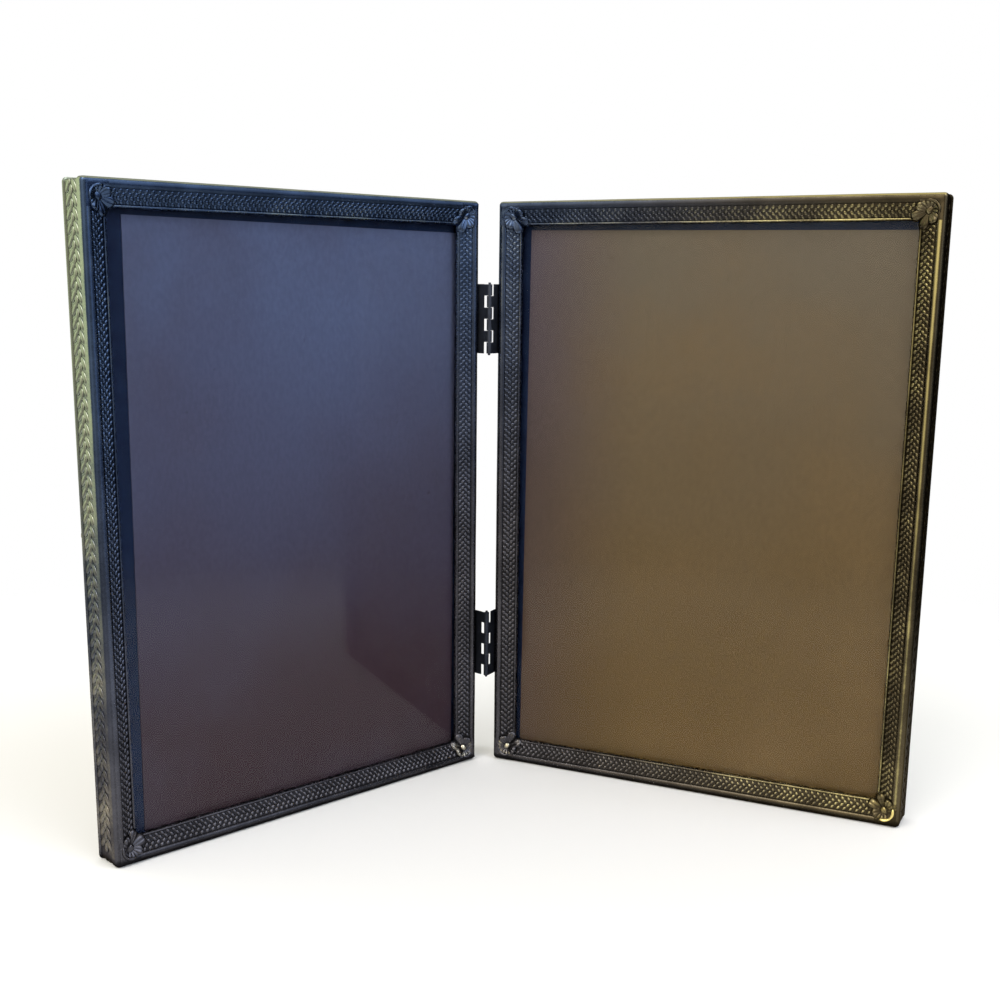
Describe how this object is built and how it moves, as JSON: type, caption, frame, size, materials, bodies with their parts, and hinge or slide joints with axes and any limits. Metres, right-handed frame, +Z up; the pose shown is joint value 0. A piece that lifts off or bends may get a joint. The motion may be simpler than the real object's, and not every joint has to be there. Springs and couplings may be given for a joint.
{
  "type": "hinged double photo frame",
  "caption": "Embossed gilt-metal photo frame of hinged panels that stands open in a V, with glass, plain paper slips and cloth-covered backs held by turn buttons.",
  "frame": {"origin": "centre of the open pair's footprint, on the surface that it stands on", "axes": "+Z up, +X to the right of someone facing the glass, +Y away from that person"},
  "size_m": [0.2478, 0.0892, 0.19],
  "materials": {
    "moulding": "darkened gilt strip, smooth rim and beads with an embossed plait",
    "corner_leaf": "gilt palmette stamping, worn bright on the high places",
    "hinge_metal": "darkened, satin",
    "rivet_metal": "worn satin",
    "button_metal": "stamped, satin",
    "glass": "clear, polished",
    "slip_paper": "plain brown, aged",
    "filler_card": "matt dark card",
    "back_cloth": "short velvet over board"
  },
  "bodies": {
    "left_panel": {"left_bottom_rail": "moulding", "left_top_rail": "moulding", "left_hinge_stile": "moulding", "left_outer_stile": "moulding", "left_bottom_hinge_corner": "corner_leaf", "left_bottom_outer_corner": "corner_leaf", "left_top_hinge_corner": "corner_leaf", "left_top_outer_corner": "corner_leaf", "left_glass": "glass", "left_paper_slip": "slip_paper", "left_filler_board": "filler_card", "left_back_panel": "back_cloth", "left_lower_leaf": "hinge_metal", "left_upper_leaf": "hinge_metal", "left_button_rivets": "rivet_metal", "lower_hinge_pin": "hinge_metal", "upper_hinge_pin": "hinge_metal"},
    "left_hinge_button": {"left_hinge_turn_button": "button_metal"},
    "left_outer_button": {"left_outer_turn_button": "button_metal"},
    "right_panel": {"right_bottom_rail": "moulding", "right_top_rail": "moulding", "right_hinge_stile": "moulding", "right_outer_stile": "moulding", "right_bottom_hinge_corner": "corner_leaf", "right_bottom_outer_corner": "corner_leaf", "right_top_hinge_corner": "corner_leaf", "right_top_outer_corner": "corner_leaf", "right_glass": "glass", "right_paper_slip": "slip_paper", "right_filler_board": "filler_card", "right_back_panel": "back_cloth", "right_lower_leaf": "hinge_metal", "right_upper_leaf": "hinge_metal", "right_button_rivets": "rivet_metal"},
    "right_hinge_button": {"right_hinge_turn_button": "button_metal"},
    "right_outer_button": {"right_outer_turn_button": "button_metal"}
  },
  "joints": [
    {"name": "fold", "type": "hinge", "parent": "left_panel", "child": "right_panel", "pos_m": [0, 0.03274, 0], "axis": [0, 0, 1], "range_deg": [-110, 70]},
    {"name": "left_hinge_button_turn", "type": "hinge", "parent": "left_panel", "child": "left_hinge_button", "pos_m": [-0.01145, 0.04267, 0.095], "axis": [-0.5736, 0.8192, 0], "range_deg": [-90, 90]},
    {"name": "left_outer_button_turn", "type": "hinge", "parent": "left_panel", "child": "left_outer_button", "pos_m": [-0.12154, -0.03442, 0.095], "axis": [-0.5736, 0.8192, 0], "range_deg": [-90, 90]},
    {"name": "right_hinge_button_turn", "type": "hinge", "parent": "right_panel", "child": "right_hinge_button", "pos_m": [0.01145, 0.04267, 0.095], "axis": [0.5736, 0.8192, 0], "range_deg": [-90, 90]},
    {"name": "right_outer_button_turn", "type": "hinge", "parent": "right_panel", "child": "right_outer_button", "pos_m": [0.12154, -0.03442, 0.095], "axis": [0.5736, 0.8192, 0], "range_deg": [-90, 90]}
  ]
}
